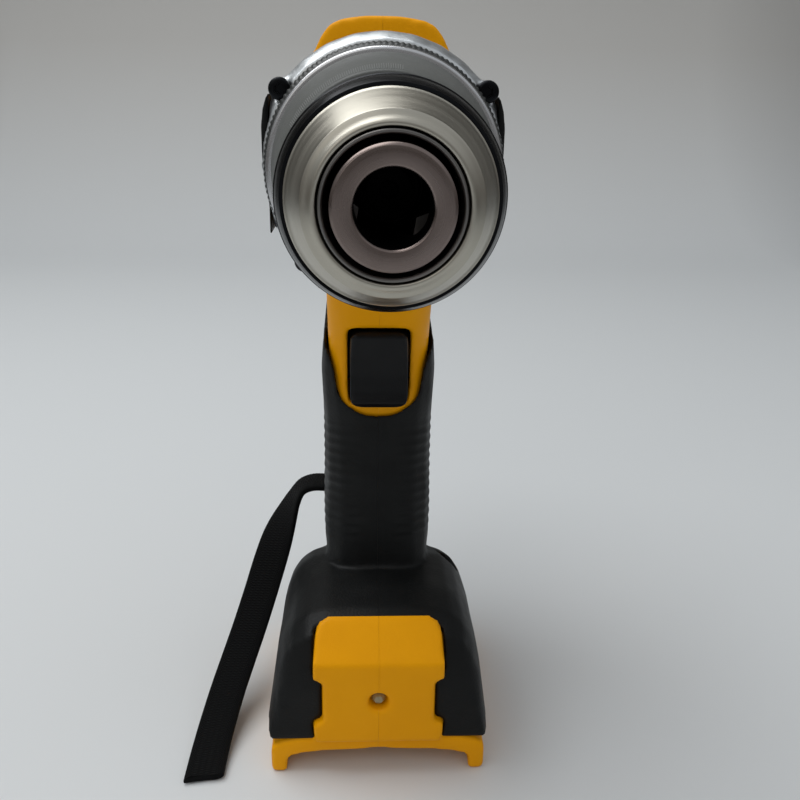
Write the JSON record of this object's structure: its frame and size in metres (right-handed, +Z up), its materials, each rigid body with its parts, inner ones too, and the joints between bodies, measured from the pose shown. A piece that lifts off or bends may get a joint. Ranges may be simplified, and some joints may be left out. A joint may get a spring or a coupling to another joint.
{
  "type": "cordless drill",
  "caption": "Pistol-grip cordless drill with keyless three-jaw chuck, torque collar, planetary gearbox and motor, on a battery rail foot with lamp and wrist strap",
  "frame": {"origin": "centre of the bottom of the box round the tool without its wrist strap, on the surface that its battery rails stand on", "axes": "+Z up, chuck axis along Y with the chuck nose towards -Y, operator behind it at +Y, so the operator's left is +X"},
  "size_m": [0.0952, 0.2084, 0.2225],
  "materials": {
    "steel_polished": "polished dark steel",
    "nickel": "satin nickel plate",
    "dark_steel": "dark machined steel",
    "black_oxide": "black, semi-gloss",
    "grey_plastic": "moulded, satin",
    "aluminium": "bead-blasted die casting",
    "rubber": "moulded rubber, matt",
    "steel": "machined steel",
    "copper": "enamelled copper wire",
    "board": "coated circuit board",
    "black_plastic": "glass-filled nylon, satin",
    "yellow_plastic": "glass-filled nylon, fine texture",
    "lens": "clear moulded lens",
    "brass": "stamped contact",
    "webbing": "woven webbing"
  },
  "bodies": {
    "housing": {"housing_left": "yellow_plastic", "housing_right": "yellow_plastic", "grip_left": "rubber", "grip_right": "rubber", "rear_cap": "black_plastic", "gear_case": "aluminium", "side_bumper_left": "rubber", "side_bumper_right": "rubber", "gear_case_screw_1": "dark_steel", "gear_case_screw_2": "dark_steel", "ring_gear": "steel", "gear_case_cover": "black_plastic", "spindle_bearing_front": "steel", "spindle_bearing_rear": "steel", "hammer_cam_rear": "dark_steel", "motor_bearing_front": "steel", "motor_bearing_rear": "steel", "motor_stator": "dark_steel", "winding_front": "copper", "winding_rear": "copper", "driver_board": "board", "switch_body": "black_plastic", "lamp_lens": "lens", "control_module": "black_plastic", "terminal_block": "black_plastic", "terminal_blade_1": "brass", "terminal_blade_2": "brass", "housing_screw_1": "dark_steel", "housing_screw_2": "dark_steel", "housing_screw_3": "dark_steel", "housing_screw_4": "dark_steel", "strap_pin": "steel", "wrist_strap": "webbing"},
    "spindle": {"spindle": "steel", "chuck_body": "steel_polished", "chuck_screw": "dark_steel", "hammer_cam_front": "dark_steel"},
    "chuck_sleeve": {"chuck_sleeve": "black_oxide", "chuck_nose_cone": "nickel", "chuck_lip_ring": "dark_steel", "chuck_nut": "dark_steel"},
    "jaw_1": {"chuck_jaw_1": "dark_steel"},
    "jaw_2": {"chuck_jaw_2": "dark_steel"},
    "jaw_3": {"chuck_jaw_3": "dark_steel"},
    "first_carrier": {"first_carrier": "steel"},
    "first_planet_1": {"first_planet_1": "steel"},
    "first_planet_2": {"first_planet_2": "steel"},
    "first_planet_3": {"first_planet_3": "steel"},
    "second_planet_1": {"second_planet_1": "steel"},
    "second_planet_2": {"second_planet_2": "steel"},
    "second_planet_3": {"second_planet_3": "steel"},
    "rotor": {"rotor": "dark_steel", "rotor_shaft": "steel", "motor_fan": "black_plastic"},
    "torque_collar": {"torque_collar": "grey_plastic", "trim_ring": "nickel"},
    "mode_ring": {"mode_ring": "grey_plastic"},
    "trigger": {"trigger": "black_plastic"},
    "direction_lever": {"direction_lever": "black_plastic"},
    "speed_selector": {"speed_selector": "black_plastic"}
  },
  "joints": [
    {"name": "spindle_spin", "type": "hinge", "parent": "housing", "child": "spindle", "pos_m": [0, -0.0742, 0.186], "axis": [0, 1, 0], "continuous": true},
    {"name": "rotor_spin", "type": "hinge", "parent": "housing", "child": "rotor", "pos_m": [0, 0.0158, 0.186], "axis": [0, 1, 0], "continuous": true},
    {"name": "first_carrier_spin", "type": "hinge", "parent": "housing", "child": "first_carrier", "pos_m": [0, -0.0142, 0.186], "axis": [0, 1, 0], "continuous": true},
    {"name": "first_planet_1_spin", "type": "hinge", "parent": "first_carrier", "child": "first_planet_1", "pos_m": [0.01414, -0.0102, 0.186], "axis": [0, 1, 0], "continuous": true},
    {"name": "first_planet_2_spin", "type": "hinge", "parent": "first_carrier", "child": "first_planet_2", "pos_m": [-0.00707, -0.0102, 0.19825], "axis": [0, 1, 0], "continuous": true},
    {"name": "first_planet_3_spin", "type": "hinge", "parent": "first_carrier", "child": "first_planet_3", "pos_m": [-0.00707, -0.0102, 0.17375], "axis": [0, 1, 0], "continuous": true},
    {"name": "second_planet_1_spin", "type": "hinge", "parent": "spindle", "child": "second_planet_1", "pos_m": [0.01414, -0.0202, 0.186], "axis": [0, 1, 0], "continuous": true},
    {"name": "second_planet_2_spin", "type": "hinge", "parent": "spindle", "child": "second_planet_2", "pos_m": [-0.00707, -0.0202, 0.19825], "axis": [0, 1, 0], "continuous": true},
    {"name": "second_planet_3_spin", "type": "hinge", "parent": "spindle", "child": "second_planet_3", "pos_m": [-0.00707, -0.0202, 0.17375], "axis": [0, 1, 0], "continuous": true},
    {"name": "chuck_sleeve_turn", "type": "hinge", "parent": "spindle", "child": "chuck_sleeve", "pos_m": [0, -0.0842, 0.186], "axis": [0, 1, 0], "range_deg": [0, 2880]},
    {"name": "jaw_1_slide", "type": "slide", "parent": "spindle", "child": "jaw_1", "axis": [-0.2402, -0.9511, 0.1945], "range_m": [0, 0.018]},
    {"name": "jaw_2_slide", "type": "slide", "parent": "spindle", "child": "jaw_2", "axis": [-0.0483, -0.9511, -0.3052], "range_m": [0, 0.018]},
    {"name": "jaw_3_slide", "type": "slide", "parent": "spindle", "child": "jaw_3", "axis": [0.2885, -0.9511, 0.1107], "range_m": [0, 0.018]},
    {"name": "torque_collar_turn", "type": "hinge", "parent": "housing", "child": "torque_collar", "pos_m": [0, -0.0542, 0.186], "axis": [0, 1, 0], "range_deg": [0, 300]},
    {"name": "mode_ring_turn", "type": "hinge", "parent": "housing", "child": "mode_ring", "pos_m": [0, -0.0362, 0.186], "axis": [0, 1, 0], "range_deg": [0, 60]},
    {"name": "trigger_pull", "type": "slide", "parent": "housing", "child": "trigger", "axis": [0, 1, 0], "range_m": [0, 0.008], "stiffness_N_per_m": 400, "springref_m": -0.002},
    {"name": "direction_lever_slide", "type": "slide", "parent": "housing", "child": "direction_lever", "axis": [1, 0, 0], "range_m": [-0.0025, 0.0025]},
    {"name": "speed_selector_slide", "type": "slide", "parent": "housing", "child": "speed_selector", "axis": [0, 1, 0], "range_m": [0, 0.01]}
  ],
  "couplings": [
    {"joint": "rotor_spin", "follows": "spindle_spin", "ratio": 20.25},
    {"joint": "first_carrier_spin", "follows": "spindle_spin", "ratio": 4.5},
    {"joint": "first_planet_1_spin", "follows": "spindle_spin", "ratio": -12.6},
    {"joint": "first_planet_2_spin", "follows": "spindle_spin", "ratio": -12.6},
    {"joint": "first_planet_3_spin", "follows": "spindle_spin", "ratio": -12.6},
    {"joint": "second_planet_1_spin", "follows": "spindle_spin", "ratio": -2.8},
    {"joint": "second_planet_2_spin", "follows": "spindle_spin", "ratio": -2.8},
    {"joint": "second_planet_3_spin", "follows": "spindle_spin", "ratio": -2.8},
    {"joint": "jaw_1_slide", "follows": "chuck_sleeve_turn", "m_per_rad": 0.00035806},
    {"joint": "jaw_2_slide", "follows": "chuck_sleeve_turn", "m_per_rad": 0.00035806},
    {"joint": "jaw_3_slide", "follows": "chuck_sleeve_turn", "m_per_rad": 0.00035806}
  ]
}
